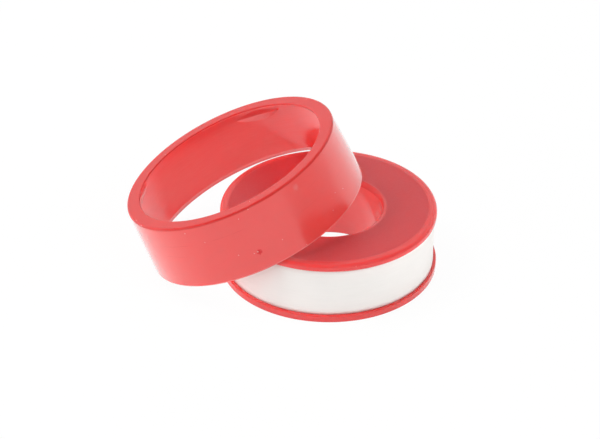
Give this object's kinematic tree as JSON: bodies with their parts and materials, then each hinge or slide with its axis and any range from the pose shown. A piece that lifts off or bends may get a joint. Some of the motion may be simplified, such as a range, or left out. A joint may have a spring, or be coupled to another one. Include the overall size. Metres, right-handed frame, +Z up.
{
  "type": "thread seal tape roll",
  "caption": "Roll of thread seal tape on a flanged red spool, with its clip-over cover ring taken off and leaning against the flange.",
  "frame": {"origin": "centre of the spool's lower face, on the table", "axes": "+Z up along the spool's axis; the cover ring leans towards -X and is even about the XZ plane"},
  "size_m": [0.0717, 0.053, 0.0358],
  "materials": {
    "spool_red": "moulded, fine matt texture on the flange faces",
    "cover_red": "moulded, smooth semi-gloss",
    "tape_white": "soft unsintered film"
  },
  "bodies": {
    "spool": {"spool_base": "spool_red", "spool_cap": "spool_red", "tape_core": "tape_white", "tape_outer_turn": "tape_white"},
    "cover": {"cover_ring": "cover_red"}
  },
  "joints": [
    {"name": "cover_lift", "type": "slide", "parent": "spool", "child": "cover", "axis": [-0.4117, 0, 0.9113], "range_m": [0, 0.04]}
  ]
}
